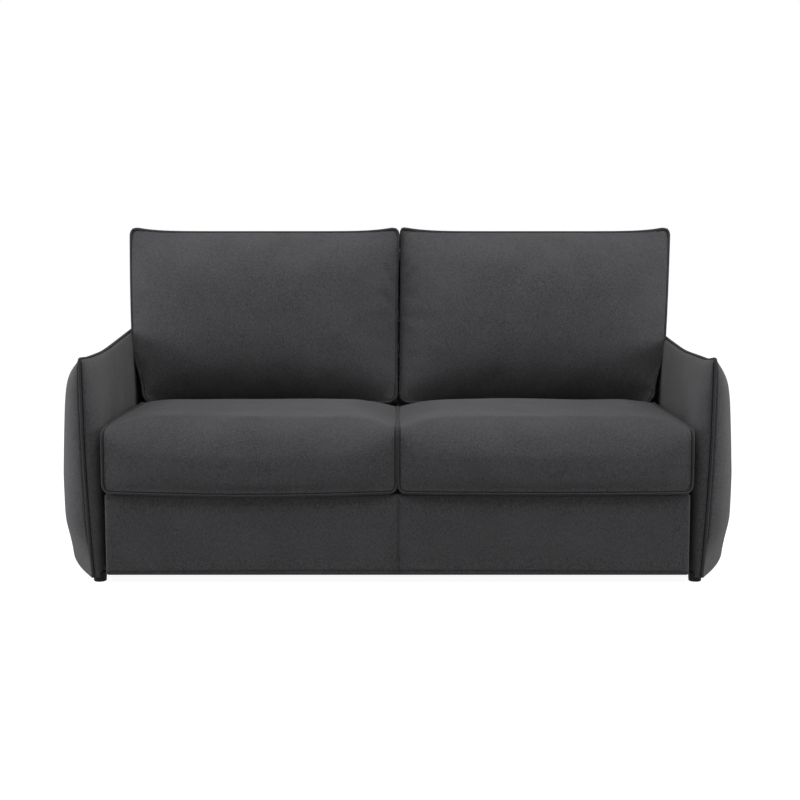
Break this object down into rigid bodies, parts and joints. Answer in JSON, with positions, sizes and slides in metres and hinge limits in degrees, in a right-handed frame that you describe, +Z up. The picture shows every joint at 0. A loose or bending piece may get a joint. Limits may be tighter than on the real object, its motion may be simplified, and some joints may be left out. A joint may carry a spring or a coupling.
{
  "type": "sleeper sofa with pull out bed",
  "caption": "Low sleeper sofa with rounded padded arms and loose-look cushions whose seat and back tip forward over the front panel into a flat bed on swing-down legs.",
  "frame": {"origin": "on the floor, under the centre of the bounding box", "axes": "+X to the right seen from the front, -Y out of the front, +Z up"},
  "size_m": [1.9, 0.98, 0.9506],
  "materials": {
    "upholstery": "charcoal flat weave, matt",
    "mattress_cover": "off-white ticking, matt",
    "frame_board": "raw board",
    "foot_plastic": "black, satin",
    "painted_steel": "dark grey powder coat",
    "zinc_pin": "zinc plated",
    "webbing": "black woven tape"
  },
  "bodies": {
    "sofa_body": {"arm_board_left": "frame_board", "arm_board_right": "frame_board", "arm_inner_pad_left": "upholstery", "arm_inner_pad_right": "upholstery", "arm_outer_pad_left": "upholstery", "arm_outer_pad_right": "upholstery", "foot_front_left": "foot_plastic", "foot_front_right": "foot_plastic", "foot_rear_left": "foot_plastic", "foot_rear_right": "foot_plastic", "front_panel_board": "frame_board", "front_panel_cover": "upholstery", "back_panel_board": "frame_board", "back_panel_cover": "upholstery", "back_wing_left": "upholstery", "back_wing_right": "upholstery", "base_front_batten": "frame_board", "base_rear_rail": "painted_steel", "base_side_rail_left": "painted_steel", "base_side_rail_right": "painted_steel", "front_link_base_pin_left": "zinc_pin", "front_link_base_pin_right": "zinc_pin", "rear_link_base_pin_left": "zinc_pin", "rear_link_base_pin_right": "zinc_pin"},
    "front_links": {"front_link_left": "painted_steel", "front_link_right": "painted_steel"},
    "rear_links": {"rear_link_left": "painted_steel", "rear_link_right": "painted_steel"},
    "head_section": {"head_frame": "painted_steel", "head_mattress": "mattress_cover", "fold_pin_left": "zinc_pin", "fold_pin_right": "zinc_pin", "front_link_head_pin_left": "zinc_pin", "front_link_head_pin_right": "zinc_pin", "rear_link_head_pin_left": "zinc_pin", "rear_link_head_pin_right": "zinc_pin"},
    "seat_section": {"seat_frame": "painted_steel", "seat_mattress": "mattress_cover", "seat_cushion_left": "upholstery", "seat_cushion_right": "upholstery", "middle_leg_axle_left": "zinc_pin", "middle_leg_axle_right": "zinc_pin", "back_hinge_pin_left": "zinc_pin", "back_hinge_pin_right": "zinc_pin"},
    "back_section": {"back_frame": "painted_steel", "foot_mattress": "mattress_cover", "back_cushion_left": "upholstery", "back_cushion_right": "upholstery", "foot_leg_axle_left": "zinc_pin", "foot_leg_axle_right": "zinc_pin", "pull_tab": "webbing"},
    "middle_legs": {"middle_leg_left": "painted_steel", "middle_leg_right": "painted_steel"},
    "foot_legs": {"foot_leg_left": "painted_steel", "foot_leg_right": "painted_steel"}
  },
  "joints": [
    {"name": "link_lift", "type": "hinge", "parent": "sofa_body", "child": "front_links", "pos_m": [0, -0.31922, 0.1285], "axis": [1, 0, 0], "range_deg": [0, 120]},
    {"name": "head_level", "type": "hinge", "parent": "front_links", "child": "head_section", "pos_m": [0, -0.172, 0.0435], "axis": [1, 0, 0], "range_deg": [-120, 0]},
    {"name": "rear_link_lift", "type": "hinge", "parent": "sofa_body", "child": "rear_links", "pos_m": [0, 0.10078, 0.1285], "axis": [1, 0, 0], "range_deg": [0, 120]},
    {"name": "seat_fold", "type": "hinge", "parent": "head_section", "child": "seat_section", "pos_m": [0, -0.42, 0.1483], "axis": [1, 0, 0], "range_deg": [0, 180]},
    {"name": "back_fold", "type": "hinge", "parent": "seat_section", "child": "back_section", "pos_m": [0, 0.23525, 0.2531], "axis": [1, 0, 0], "range_deg": [-78, 0]},
    {"name": "middle_leg_swing", "type": "hinge", "parent": "seat_section", "child": "middle_legs", "pos_m": [0, -0.09, 0.2531], "axis": [1, 0, 0], "range_deg": [-90, 0]},
    {"name": "foot_leg_swing", "type": "hinge", "parent": "back_section", "child": "foot_legs", "pos_m": [0, 0.26956, 0.41449], "axis": [1, 0, 0], "range_deg": [-90, 0]}
  ],
  "couplings": [
    {"joint": "head_level", "follows": "link_lift", "ratio": -1},
    {"joint": "rear_link_lift", "follows": "link_lift", "ratio": 1},
    {"joint": "seat_fold", "follows": "link_lift", "ratio": 1.5},
    {"joint": "back_fold", "follows": "link_lift", "ratio": -0.65},
    {"joint": "middle_leg_swing", "follows": "link_lift", "ratio": -0.75},
    {"joint": "foot_leg_swing", "follows": "link_lift", "ratio": -0.75}
  ]
}
